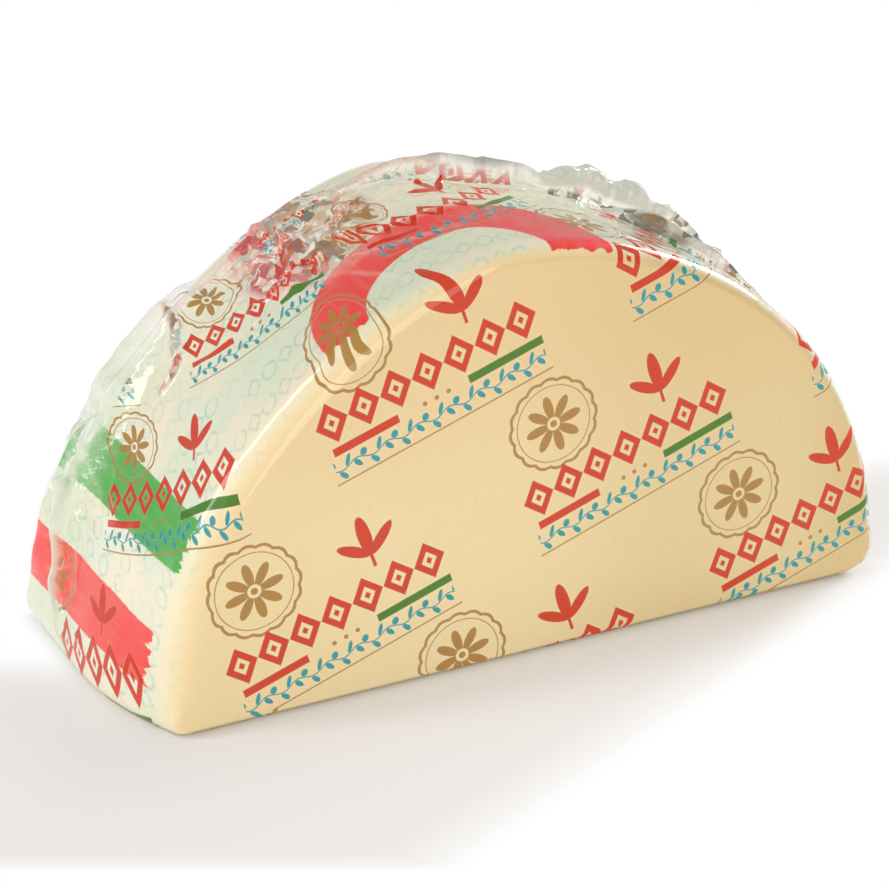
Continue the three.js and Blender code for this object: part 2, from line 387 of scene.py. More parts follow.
# Folds where the print shows crushed and dark, with painted shade along the feet of the fin and the bridge:
# middle and half width of each
FIN_FOOT_SHADE = (-4.2, 1.8)           # in millimetres from the fin's middle
FIN_FOOT_SHADE_LIFT = (0.8, 1.6)       # in millimetres off the rind
BRIDGE_FOOT_SHADE = (-2.6, 1.3)        # in millimetres from the bridge's middle
BRIDGE_FOOT_SHADE_PLACES = (58, 5.5)
FIN_END_PLACES = (46, 5)
BRIDGE_END_PLACES = (50, 7)
BRIDGE_FRONT = (9, 13)           # depths in front of the middle
TINTS = {"pinch": 0.4, "foot": 0.9, "end": 0.45}
PALE_BACK = (30, 37)     # the back of the bunch has little print, between these depths
PALE_UNTIL = (108, 110.5)        # and up to here round the rind
BARE_FROM = (126, 136)   # from here on, round the rind, the film behind the fin is without print
BARE_EDGE = (-3, 1)
# The print is drawn together round the bunch
GATHERED = 16            # this much film is drawn in from every side
GATHER_REACH = (13, 75)  # it begins and fades this far from the bunch's middle
CRUSHED_PRINT = ((7, PEAKS), (6, (7, 43)))       # along and across: how far it is pushed about, size and seed


def radial_pleats(along, across, count, seed):
    """Pleats that run out from a gathered spot."""
    reach, turn = np.hypot(along, across), np.arctan2(across, along)
    turn = turn + 0.22 * swells(along, across, 30, seed) + 0.05 * crumples(along, across, 9, seed + 1)
    turn = turn * count / np.pi
    pleats = 0.6 * triangle_wave(turn) + 0.4 * triangle_wave(0.6 * turn + 0.7)
    return pleats * smooth_step(reach, 2, 11) * bell(reach, 0, 27)


def crease_relief(outline, along, across, creases):
    """Height of narrow creases laid along polylines of place and depth."""
    relief = np.zeros(along.shape)
    for spots, height, width in creases:
        ends = np.array([(along_at(outline, place), depth) for place, depth in spots], float)
        knots = np.linspace(0, len(spots) - 1, 6 * (len(spots) - 1) + 1)
        line = np.stack([np.interp(knots, range(len(spots)), ends[:, axis]) for axis in (0, 1)], -1)
        for _ in range(3):
            line[1:-1] = (line[:-2] + 2 * line[1:-1] + line[2:]) / 4
        centre, reach = ends.mean(axis=0), np.ptp(ends, axis=0) / 2 + 4 * width
        near = (np.abs(along - centre[0]) < reach[0]) & (np.abs(across - centre[1]) < reach[1])
        spot = np.stack([along[near], across[near]], -1)
        best = np.full(len(spot), np.inf)
        share = np.zeros(len(spot))
        for k in range(len(line) - 1):
            step = line[k + 1] - line[k]
            t = np.clip((spot - line[k]) @ step / (step @ step), 0, 1)
            gap = np.linalg.norm(spot - line[k] - t[:, None] * step, axis=-1)
            share = np.where(gap < best, (k + t) / (len(line) - 1), share)
            best = np.minimum(best, gap)
        taper = np.clip(4 * share * (1 - share), 0, 1) ** 0.6
        ridge = height * taper * bell(best, 0, width, 1.5)
        relief[near] = np.maximum(relief[near], ridge)
    return relief


def gathers():
    """Short creases that run out from the foot of the fin, to both sides."""
    chance = np.random.default_rng(11)
    creases = []
    for place in np.linspace(*GATHER_PLACES, GATHER_SPOTS):
        place = place + chance.uniform(-1, 1)
        foot = look_up(FIN, place, 1)
        for side in (-1, 1):
            reach = min(chance.uniform(5, 18), HALF_DEPTH - 3 - foot if side > 0 else 30)
            lean = chance.uniform(-3.5, 3.5)
            spots = ((place, foot + side * 1.5), (place + lean / 2, foot + side * reach / 2),
                     (place + lean, foot + side * reach))
            creases.append((spots, chance.uniform(0.2, 0.65), chance.uniform(0.6, 1.0)))
    return creases


def along_at(outline, place):
    """Distance along the rind, in millimetres, at a place round it."""
    return float(np.interp(place, outline.place[outline.on_rind], outline.along[outline.on_rind]))


def ridge_rows(outline, table, row_count, seed):
    """A standing fold of film: its depth, its lift and how loose it is, row by row across it."""
    middle, height, half = (look_up(table, outline.place, column) for column in (1, 2, 3))
    along, level = outline.along, 0 * outline.along
    height = height * outline.on_rind
    tail = smooth_step(outline.place, *TAIL_START) * (1 - smooth_step(outline.place, *TAIL_END))
    wander = 0.6 * swells(along, level, 30, seed)
    wander = wander + 0.25 * (1 - 0.7 * tail) * crumples(along, level, 9, seed + 1)
    ragged = 0.9 - 0.10 * swells(along, level, 22, seed + 2) - 0.05 * crumples(along, level, 6, seed + 3)
    rows = []
    for q in np.linspace(-1, 1, row_count):
        up = 1 - abs(q) ** 2.4
        across = half * (0.45 * q + 1.05 * q ** 5 + tail * 0.8 * np.sin(np.pi * q))
        swing = 0.20 * wander + 0.07 * swells(along, level + 6 * up, 11, seed + 4)
        rows.append((middle + across + swing * height * up, height * np.clip(ragged, 0.3, 1.15) * up,
                     up * (height > 0.5)))
    return rows


def film_rows(outline):
    """Depth, lift and looseness of the rows from rim to rim, and which of them is the fin's crest."""
    tight = np.zeros(outline.count)
    front_rim, back_rim = (
        [(*rim_row(outline, side, turn, puffed=1.0), tight) for turn in RIM_TURNS] for side in (-1, 1))
    bridge = ridge_rows(outline, BRIDGE, BRIDGE_ROWS, 21)
    fin = ridge_rows(outline, FIN, FIN_ROWS, 31)
    rows = front_rim
    for ridge, count in zip((bridge, fin, back_rim[::-1]), TIGHT_ROWS):
        low, high = rows[-1][0], ridge[0][0]
        depths = [low + (high - low) * step / count for step in range(1, count)]
        rows = rows + [(depth, outline.puff(depth), tight) for depth in depths]
        if ridge is fin:
            crest = len(rows) + FIN_ROWS // 2
        on_skin = ridge is bridge or ridge is fin
        rows = rows + [(depth, lift + outline.puff(depth) if on_skin else lift, loose)
                       for depth, lift, loose in ridge]
    return (*(np.array(column) for column in zip(*rows)), crest)


class FilmZones:
    """Where the film is loose, bunched, knotted or tight: for each zone an array, mostly from 0 to 1."""

    def __init__(self, outline, depths, lifts, loose):
        place, rind = outline.place, outline.on_rind
        self.place, self.rind, self.depths, self.lifts, self.loose = place, rind, depths, lifts, loose
        self.along = along = np.broadcast_to(outline.along, depths.shape)
        self.behind_fin = depths - look_up(FIN, place, 1)
        self.behind_bridge = depths - look_up(BRIDGE, place, 1)
        self.bunch_along = along_at(outline, BUNCH[0])
        from_bunch = along - self.bunch_along, depths - BUNCH[1]
        from_star = along - along_at(outline, STAR[0]), depths - STAR[1]
        off_bunch = np.hypot(from_bunch[0] / BUNCH_REACH[0], from_bunch[1] / BUNCH_REACH[1])
        self.bunch = bell(off_bunch, 0, 1, BUNCH_EDGE) * rind
        self.crushed = self.bunch * (1 - 0.8 * smooth_step(depths, *BUNCH_BACK))
        self.star = bell(from_star[0], 0, STAR_REACH[0]) * bell(from_star[1], 0, STAR_REACH[1]) * rind
        self.pleats = radial_pleats(*from_bunch, BUNCH_PLEATS, 14)
        self.strands = radial_pleats(*from_star, STAR_PLEATS, 33)
        self.pleat_edges, self.strand_edges = np.abs(self.pleats), np.abs(self.strands)
        self.along_tail = (place > TAIL_START[0]) * (place < TAIL_END[1])
        self.tail = loose * self.along_tail
        self.crest = loose * (1 - 0.6 * self.tail)
        self.left_fin = loose * smooth_step(place, *LEFT_FIN)
        filled, puff = outline.filled(), outline.puff(depths)
        self.puffed = puff * (1 - filled) / 8
        self.free = np.maximum(lifts - filled * puff, 0)         # room between film and cheese
        self.clear = smooth_step(HALF_DEPTH - np.abs(depths), *CLEAR_OF_RIM) * rind
        self.taut = self.clear * smooth_step(outline.z, *FEET)
        creases = crease_relief(outline, along, depths, CREASES + tuple(gathers()))
        self.pinch = crease_relief(outline, along, depths, (PINCH,)) * self.clear
        self.creases = (creases + self.pinch) * self.taut
        self.ridges, self.pinched = np.clip(creases * self.clear, 0, 1), np.clip(self.pinch, 0, 2)

    def total(self, shares):
        """The named zones added up, each times its share."""
        return sum(share * getattr(self, zone) for zone, share in shares.items())

    def pattern(self, kind, size, seed, climb=0):
        """Crumples or swells over the whole film."""
        return kind(self.along, self.depths + climb * self.lifts, size, seed)


def film_relief(zones):
    """How far the film stands off its smooth skin, in millimetres."""
    relief = zones.total(RISE) + zones.clear * zones.total(PLEAT_RISE)
    relief = relief + zones.crushed * PEAK_HEIGHT * np.clip(zones.pattern(crumples, *PEAKS), *PEAK_LIMITS)
    for zone, height, kind, size, seed, climb in RUMPLES:
        relief = relief + height * getattr(zones, zone) * zones.pattern(kind, size, seed, climb)
    relief = np.maximum(relief, -PRESSED_IN - zones.free)
    relief[:RIM_STEPS] *= RIM_CALM
    relief[-RIM_STEPS:] *= RIM_CALM
    return relief


def film_marks(zones):
    """What the film's material reads from its rows: how milky, creased, tinted and bare it is; the tint holds
    painted shade along the feet of the fin and the bridge.
    """
    place, depths = zones.place, zones.depths
    milky = (TIGHT_HAZE + zones.total(MILKY)) * zones.rind
    milky = milky * (1 - 0.8 * smooth_step(place, *TIGHT_END) * smooth_step(zones.behind_fin, *BEHIND_FIN))
    # painted shade along the feet of the tail and the bridge, where the film meets the rind, mixed with
    # crushed print
    foot = zones.along_tail * bell(zones.behind_fin, *FIN_FOOT_SHADE) * bell(zones.lifts, *FIN_FOOT_SHADE_LIFT)
    bridge_foot_shade = bell(place, *BRIDGE_FOOT_SHADE_PLACES, 4) * bell(zones.behind_bridge, *BRIDGE_FOOT_SHADE) * zones.rind
    foot = np.maximum(foot, bridge_foot_shade)
    bridge_end = smooth_step(-depths, *BRIDGE_FRONT) * bell(place, *BRIDGE_END_PLACES, 4)
    end = zones.loose * np.maximum(bell(place, *FIN_END_PLACES, 4), bridge_end)
    pale = 0.85 * smooth_step(depths, *PALE_BACK) * (1 - smooth_step(place, *PALE_UNTIL))
    tinted = [zones.bunch * (1 - pale), TINTS["pinch"] * zones.pinch,
              TINTS["foot"] * foot, TINTS["end"] * end]
    bare = smooth_step(place, *BARE_FROM) * smooth_step(zones.behind_fin, *BARE_EDGE) * zones.rind
    return {"haze": milky, "crumple": np.clip(zones.total(CREASED), 0, 1),
            "bunch": np.maximum.reduce(tinted), "bare": bare}


def print_maps(smooth, film, zones, crest):
    """Where each spot of the film lies in the print: one map unrolled over each of the two rims."""
    crushed, clear = np.zeros(smooth.shape[:2] + (2,)), np.zeros(smooth.shape[:2])
    clear[film] = zones.clear
    for axis, (push, (size, seed)) in enumerate(CRUSHED_PRINT):
        crushed[film, :, axis] = push * zones.bunch * zones.pattern(crumples, size, seed)
    station = int(zones.bunch_along)         # the stations lie about a millimetre apart
    row = FIRST_ROW + int(np.argmin(np.abs(zones.depths[:, station] - BUNCH[1])))
    maps = []
    for mirror, edge_row in ((1, film.start), (-1, film.stop - 1)):
        lengths = path_lengths(smooth, edge_row, crest)[..., None]
        rim = smooth[edge_row][:, (0, 2)]
        outward = rim - UNROLL_MIDDLE
        outward = outward / np.linalg.norm(outward, axis=-1, keepdims=True)
        spread = np.where(lengths > 0, rim + outward * lengths, smooth[..., (0, 2)]) * (mirror, 1)
        off = spread - spread[row, station]
        reach = np.maximum(np.linalg.norm(off, axis=-1, keepdims=True), 1e-6)
        drawn = GATHERED * np.tanh(reach / GATHER_REACH[0]) * bell(reach, 0, GATHER_REACH[1])
        maps.append(spread + drawn * clear[..., None] * off / reach + crushed)
    return maps


def film_skin():
    outline = Outline(*SKIN_STEPS)
    depths, lifts, loose, crest = film_rows(outline)
    crest = crest + FIRST_ROW
    zones = FilmZones(outline, depths, lifts, loose)
    film = slice(FIRST_ROW, FIRST_ROW + len(depths))
    front, back = ([face_row(outline, side, share) for share in FACE_SHARES] for side in (-1, 1))
    over_rind = [skin_row(outline, depth, lift) for depth, lift in zip(depths, lifts)]
    smooth = np.array(front + over_rind + back[::-1])

    # The print follows the smooth skin; creases and crumples come on top of that.
    maps = print_maps(smooth, film, zones, crest)
    points = smooth.copy()
    points[film] += film_relief(zones)[..., None] * grid_normals(smooth)[film]
    sideways = np.roll(smooth, -1, axis=1) - np.roll(smooth, 1, axis=1)
    sideways = sideways / np.maximum(np.linalg.norm(sideways, axis=-1, keepdims=True), 1e-9)
    points[film] += (zones.total(LAPS) * zones.pattern(crumples, LAP_SIZE, 41))[..., None] * sideways[film]
    points[film, :, 1] += zones.crushed * zones.pattern(crumples, LAP_SIZE, 42)
    points[..., 2] = np.maximum(points[..., 2], 0)

    marks = {}
    for name, values in film_marks(zones).items():
        marks[name] = np.zeros(points.shape[:2])
        marks[name][film] = values
    marks["haze"][:FIRST_ROW + RIM_STEPS // 2] = FACE_HAZE
    marks["haze"][-FIRST_ROW - RIM_STEPS // 2:] = FACE_HAZE

    def print_place(row, station, first_row, _):
        return maps[0 if first_row < crest else 1][row, station] * MM

    return wrap_grid("film_wrap", points, {"print": print_place}, marks)


# ---------------------------------------------------------------- writing patterns as arithmetic
VECTOR, FLOAT, COLOUR = "NodeSocketVector", "NodeSocketFloat", "NodeSocketColor"


def feed(tree, slot, value):
    """Sets a slot to a plain value, or links it to a field or a socket."""
    value = getattr(value, "socket", value)
    if hasattr(value, "is_linked"):
        tree.links.new(value, slot)
    else:
        slot.default_value = value


def feed_inputs(tree, node, **inputs):
    """Feeds inputs by name; an underscore stands for a space."""
    for name, value in inputs.items():
        feed(tree, node.inputs[name.replace("_", " ")], value)
    return node


def add_node(tree, kind, **inputs):
    return feed_inputs(tree, tree.nodes.new("ShaderNode" + kind), **inputs)


class Field:
    """A value in a node tree, so that a pattern can be written as arithmetic."""

    def __init__(self, tree, socket):
        self.tree, self.socket = tree, socket

    def math(self, operation, *others, clamp=False):
        node = self.tree.nodes.new("ShaderNodeMath")
        node.operation, node.use_clamp = operation, clamp
        for slot, value in zip(node.inputs, (self, *others)):
            feed(self.tree, slot, value)
        return Field(self.tree, node.outputs[0])

    def __add__(self, other):
        return self.math("ADD", other)

    def __sub__(self, other):
        return self.math("SUBTRACT", other)

    def __mul__(self, other):
        return self.math("MULTIPLY", other)

    def __truediv__(self, other):
        return self.math("DIVIDE", other)

    __radd__, __rmul__ = __add__, __mul__

    def __rsub__(self, other):
        return self * -1 + other

    def __abs__(self):
        return self.math("ABSOLUTE")

    def least(self, other):
        return self.math("MINIMUM", other)

    def most(self, other):
        return self.math("MAXIMUM", other)

    def clamped(self):
        """Kept between 0 and 1."""
        return self.math("ADD", 0.0, clamp=True)

    def wrap(self, half):
        """Repeats from -half to half."""
        return self.math("WRAP", half, -half)

    def off(self, centre, half):
        """Signed distance to a strip of the given centre and half width."""
        return abs(self - centre) - half

    def inside(self, softness):
        """1 where a signed distance is below zero, 0 outside, with an edge of the given softness."""
        return (self * (-1 / softness) + 0.5).clamped()

    def ramp(self, low, high):
        """0 below low, 1 above high, smooth between."""
        node = add_node(self.tree, "MapRange", Value=self, From_Min=low, From_Max=high)
        node.interpolation_type = "SMOOTHSTEP"
        return Field(self.tree, node.outputs["Result"])


def nearest(*shapes):
    """Signed distance to the nearest of some shapes."""
    found = shapes[0]
    for shape in shapes[1:]:
        found = found.least(shape)
    return found


def length_of(x, y):
    return (x * x + y * y).math("SQRT")


def noise(tree, place, scale, **inputs):
    return Field(tree, add_node(tree, "TexNoise", Vector=place, Scale=scale, **inputs).outputs[0])


def split(tree, vector, unit=1.0):
    node = tree.nodes.new("ShaderNodeSeparateXYZ")
    feed(tree, node.inputs[0], vector)
    return [Field(tree, node.outputs[k]) * unit for k in range(3)]


def srgb(*shade):
    """Colour from 0-255 display values."""
    return tuple(c / 3294.6 if c <= 10 else ((c / 255 + 0.055) / 1.055) ** 2.4 for c in shade) + (1,)


WHITE = srgb(255, 255, 255)


def paint(tree, base, *coats):
    """Lays colours over a base colour, one after the other, each where its mask is 1."""
    for colour, mask in coats:
        node = tree.nodes.new("ShaderNodeMix")
        node.data_type = "RGBA"
        for number, value in ((0, mask), (6, base), (7, colour)):    # the mix's factor and its two colours
            feed(tree, node.inputs[number], value)
        base = node.outputs[2]
    return base


def mix_shaders(tree, share, first, second):
    node = tree.nodes.new("ShaderNodeMixShader")
    for slot, value in zip(node.inputs, (share, first, second)):
        feed(tree, slot, value)
    return node.outputs[0]


def new_group(name, inputs, outputs):
    group = bpy.data.node_groups.new(name, "ShaderNodeTree")
    for label, kind in inputs.items():
        group.interface.new_socket(label, in_out="INPUT", socket_type=kind)
    for label, kind in outputs.items():
        group.interface.new_socket(label, in_out="OUTPUT", socket_type=kind)
    return group, group.nodes.new("NodeGroupInput").outputs, group.nodes.new("NodeGroupOutput")


def place_group(tree, group, **inputs):
    node = tree.nodes.new("ShaderNodeGroup")
    node.node_tree = group
    return feed_inputs(tree, node, **inputs).outputs


def attribute(tree, name):
    node = tree.nodes.new("ShaderNodeAttribute")
    node.attribute_name = name
    return Field(tree, node.outputs["Fac"])


def uv_place(tree, name):
    node = tree.nodes.new("ShaderNodeUVMap")
    node.uv_map = name
    return node.outputs[0]


def object_place(tree):
    return tree.nodes.new("ShaderNodeTexCoord").outputs["Object"]


def bump(tree, height, distance):
    return add_node(tree, "Bump", Height=height, Distance=distance).outputs[0]


def new_material(name):
    material = bpy.data.materials.new(name)
    material.use_nodes = True
    tree = material.node_tree
    return material, tree, tree.nodes["Principled BSDF"], tree.nodes["Material Output"]


# ---------------------------------------------------------------- print and folds of the film
INK_RED = srgb(208, 44, 2)
INK_GREEN = srgb(60, 120, 20)
INK_TEAL = srgb(0, 150, 158)
INK_BRONZE = srgb(172, 126, 58)
INK_EDGE = 0.22
INK_STRENGTH = 0.95
PRINT_TILT = math.radians(19)
REPEAT = (108, 60)       # the print repeats in half-dropped columns, in millimetres
# The motifs, in millimetres from the middle of a repeat: u along its lines, v across them
CHAIN = (-8, 39.2)       # v of its middle, and its half length
LOZENGE = (5.3, 6.6)     # half axes
LOZENGE_STEP = 11.2
LOZENGE_RING = (0.78, 0.27)          # middle and half width of its outline, as shares of the half axes
LOZENGE_HEART = 0.22
LOZENGE_UNIT = 3.4       # millimetres for one of those shares
SPRIG = (17, 4.5)        # where its leaves meet
SPRIG_LEAVES = ((0, 7.2, 2.3), (52, 6.2, 1.9), (-52, 6.2, 1.9))  # turn, half length, half width
SPRIG_STEM = ((17, 0.6), (3.4, 3.4))             # middle and half length in u and in v
BARS = (-17.6, 1.45)     # middle and half width in v of the two bars
RED_BAR, GREEN_BAR = (-25, 11.5), (25, 13.5)     # the same in u
DOT, DOT_STEP, DOTS_HALF = 0.8, 4.2, 6.2         # radius, distance and half row of the dots between them
VINE = (-23.4, 38)       # v of its middle, and its half length
VINE_WAVE = (11, 0.9)    # length and swing of the stem's waves
VINE_STEM = 0.28
VINE_LEAF = (1.05, 1.75)             # half axes; each side has one leaf for each half wave of the stem
VINE_LEAF_OFF = 1.7                  # from the stem to a leaf's middle
VINE_LEAF_SLANT = (0.55, 0.25)
RULE = ((-28.2, 0.3), (0, 39))       # middle and half length in v and in u
ROSETTE = (-21, 13.5)
ROSETTE_EDGE = (14.6, 0.55, 0.8)     # radius, half width, and how far its 16 lobes stand out
ROSETTE_RING = (12.9, 0.22)
PETALS = (2.4, 7.6)      # inner radius and length of its 8 petals
ROSETTE_GAP, ROSETTE_HEART = 2.3, 1.2            # radii


def lozenge_chain(u, v):
    reach = abs(u.wrap(LOZENGE_STEP / 2)) / LOZENGE[0] + abs(v - CHAIN[0]) / LOZENGE[1]
    shape = reach.off(*LOZENGE_RING).least(reach - LOZENGE_HEART) * LOZENGE_UNIT
    return shape.most(u.off(0, CHAIN[1]))


def sprig(u, v):
    leaves = []
    for turn, length, fat in SPRIG_LEAVES:
        sine, cosine = math.sin(math.radians(turn)), math.cos(math.radians(turn))
        du, dv = u - SPRIG[0], v - SPRIG[1]
        along, side = du * sine + dv * cosine, du * cosine - dv * sine
        leaves.append((length_of(side / fat, (along - length) / length) - 1) * fat)
    return nearest(*leaves, u.off(*SPRIG_STEM[0]).most(v.off(*SPRIG_STEM[1])))


def leafy_vine(u, v):
    stem_v = v - VINE[0] - (u * (2 * math.pi / VINE_WAVE[0])).math("SINE") * VINE_WAVE[1]
    shapes = [stem_v.off(0, VINE_STEM)]
    quarter = VINE_WAVE[0] / 4
    for shift, side in ((0, 1), (quarter, -1)):
        du, dv = (u + shift).wrap(quarter), stem_v * side - VINE_LEAF_OFF
        slant, rise = du - dv * VINE_LEAF_SLANT[0], dv + du * VINE_LEAF_SLANT[1]
        shapes.append(length_of(slant / VINE_LEAF[0], rise / VINE_LEAF[1]) - 1)
    return nearest(*shapes).most(u.off(0, VINE[1]))


def rosette(u, v):
    du, dv = u - ROSETTE[0], v - ROSETTE[1]
    reach, turn = length_of(du, dv), dv.math("ARCTAN2", du)
    lobes, petals = abs((turn * 8).math("SINE")), abs((turn * 4).math("COSINE"))
    edge = (reach - lobes * ROSETTE_EDGE[2]).off(*ROSETTE_EDGE[:2])
    flower = (reach - petals * PETALS[1] - PETALS[0]).most(ROSETTE_GAP - reach)
    return nearest(edge, reach.off(*ROSETTE_RING), flower, reach - ROSETTE_HEART)


def film_print_group():
    """A made-up repeat: chain of lozenges, two bars, leafy vine, rule, rosette and sprig."""
    group, taken, given = new_group("film_print", {"Place": VECTOR}, {"Colour": COLOUR, "Mask": FLOAT})
    x, y, _ = split(group, taken["Place"], 1 / MM)
    cosine, sine = math.cos(PRINT_TILT), math.sin(PRINT_TILT)
    u, v = x * cosine + y * sine, y * cosine - x * sine
    row = (v / REPEAT[1] + 0.5).math("FLOOR")
    v = v.wrap(REPEAT[1] / 2)
    u = (u + row * (REPEAT[0] / 2)).wrap(REPEAT[0] / 2)
    red_bar, green_bar = (u.off(*bar).most(v.off(*BARS)) for bar in (RED_BAR, GREEN_BAR))
    dots = (length_of(u.wrap(DOT_STEP / 2), v - BARS[0]) - DOT).most(u.off(0, DOTS_HALF))
    rule = v.off(*RULE[0]).most(u.off(*RULE[1]))
    bronze, red = nearest(rosette(u, v), rule, dots), nearest(lozenge_chain(u, v), sprig(u, v), red_bar)

    colour, every = INK_BRONZE, bronze.inside(INK_EDGE)
    for ink, shape in ((INK_TEAL, leafy_vine(u, v)), (INK_GREEN, green_bar), (INK_RED, red)):
        mask = shape.inside(INK_EDGE)
        colour, every = paint(group, colour, (ink, mask)), every.most(mask)
    feed_inputs(group, given, Colour=colour, Mask=every)
    return group


def film_folds_group():
    """Height of flat facets between sharp folds."""
    group, taken, given = new_group("film_folds", {"Place": VECTOR, "Pitch": FLOAT}, {"Height": FLOAT})
    x, y, z = split(group, taken["Place"], 1 / MM)
    pitch = Field(group, taken["Pitch"])
    drift = noise(group, taken["Place"], 60, Detail=1.0)
    chance = np.random.default_rng(5)
    folds = []
    for _ in range(5):
        heading = chance.normal(size=3)
        east, north, up = (heading / np.linalg.norm(heading)).tolist()
        turn = (x * east + y * north + z * up) / pitch
        folds.append((turn + drift * 3 + chance.uniform(0, 2)).math("PINGPONG", 1.0))
    feed_inputs(group, given, Height=sum(folds) / len(folds))
    return group


FACET_BEND = (0.007, 0.007, 0.007)   # the facets' edges are bent by so many metres
FOLD_LINE = (0.015, 0.05)            # a fold's line fades between these distances from it, in cell sizes


def film_facets_group():
    """Facets of crumpled film: a chance value for each, 0 to 1, and the lines of the folds between them."""
    group, taken, given = new_group("film_facets", {"Place": VECTOR}, {"Chance": FLOAT, "Lines": FLOAT})
    bend = add_node(group, "TexNoise", Vector=taken["Place"], Scale=130, Detail=1.0).outputs["Color"]
    moved = group.nodes.new("ShaderNodeVectorMath")
    moved.operation = "MULTIPLY_ADD"
    for slot, value in zip(moved.inputs, (bend, FACET_BEND, taken["Place"])):
        feed(group, slot, value)
    cells, edges = (add_node(group, "TexVoronoi", Vector=moved.outputs[0], Scale=size) for size in (270, 200))
    edges.feature = "DISTANCE_TO_EDGE"
    lines = 1 - Field(group, edges.outputs["Distance"]).ramp(*FOLD_LINE)
    feed_inputs(group, given, Chance=split(group, cells.outputs["Color"])[0], Lines=lines)
    return group


# ---------------------------------------------------------------- the film's finish
HAZE_COLOUR = srgb(234, 230, 220)
HAZE_GREY_SHADE = srgb(198, 198, 186)      # several layers of film, with painted shade in them
HAZE_PINK = srgb(216, 92, 90)        # several layers of red print
HAZE_TAN = srgb(178, 134, 94)        # several layers of bronze print
HAZE_GREEN = srgb(221, 227, 207)     # thin, over the left end, darkened there as painted shade
DEEP_RED = srgb(172, 30, 40)
DEEP_BROWN = srgb(104, 74, 46)
# crushed dark print, and painted shade at the tail's foot
DARK_PRINT_AND_SHADE = srgb(92, 84, 68)
# painted highlights along the folds of loose film
FOLD_HIGHLIGHT = srgb(250, 248, 244)
FILM_IOR = 1.42
FOLD_PITCH = 4.2
SECOND_LAYER = {"Scale": (-1.25, 1.1, 1), "Location": (0.031, 0.017, 0), "Rotation": (0, 0, 0.6)}
# Stretches along x, in millimetres, over which the film's tints change
LEFT_END = (-105, -85)
RIGHT_HALF = (-10, 5)
GREY_FROM = (-100, -40)
PINK_FROM, TAN_FROM = (-80, -70), (-57, -44)     # the bunch is tan, then pink, then tan again
BLUSH = (((-95, -80), 0.25), ((-14, 6), 0.65), ((14, 32), -0.9))     # and by how much the haze is tinted


def film_ink(tree, film_print, haze, loose, bunch, bare):
    """Colour and mask of the print; in gathered film the print of a second layer shows as well."""
    place = uv_place(tree, "print")
    behind = add_node(tree, "Mapping", Vector=place, **SECOND_LAYER).outputs[0]
    first, second = (place_group(tree, film_print, Place=spot) for spot in (place, behind))
    mask = Field(tree, first["Mask"]) * (1 - haze.ramp(0.38, 0.62) * 0.9) * (1 - bare)
    strength = 0.5 - haze.ramp(0.45, 0.65) * 0.4 + bunch * 0.35
    under = Field(tree, second["Mask"]) * loose.ramp(0.25, 0.7) * strength * (1 - bare)
    return paint(tree, second["Colour"], (first["Colour"], mask.clamped())), mask.most(under)


def crushed_print(tree, x, bunch, chance):
    """Colours of print that is crushed into facets; on the right, dark print mixed with painted shade at the
    tail's foot.
    """
    tan = (x.ramp(*TAN_FROM) + 1 - x.ramp(*PINK_FROM)) * bunch.ramp(0.1, 0.4)
    deep, teal = chance.ramp(0.7, 0.72) * 0.75, (chance.ramp(0.44, 0.45) - chance.ramp(0.52, 0.53)) * 0.6
    dark = paint(tree, DEEP_RED, (DEEP_BROWN, tan))
    return paint(tree, HAZE_PINK, (HAZE_TAN, tan), (dark, deep), (INK_TEAL, teal),
                 (DARK_PRINT_AND_SHADE, x.ramp(*RIGHT_HALF)))


def clear_film(tree, body, normal):
    """The film's body under a mirroring coat; light on its way to and from the cheese passes unhindered."""
    gloss = add_node(tree, "BsdfGlossy", Color=WHITE, Roughness=0.07, Normal=normal)
    backfacing = Field(tree, tree.nodes.new("ShaderNodeNewGeometry").outputs["Backfacing"])
    ior = backfacing * (1 / FILM_IOR - FILM_IOR) + FILM_IOR          # thin: both sides mirror alike
    fresnel = add_node(tree, "Fresnel", IOR=ior, Normal=normal)
    shader = mix_shaders(tree, fresnel.outputs[0], body.outputs[0], gloss.outputs[0])
    path, clear = tree.nodes.new("ShaderNodeLightPath"), tree.nodes.new("ShaderNodeBsdfTransparent")
    for ray in ("Is Diffuse Ray", "Is Shadow Ray"):
        shader = mix_shaders(tree, path.outputs[ray], shader, clear.outputs[0])
    return shader


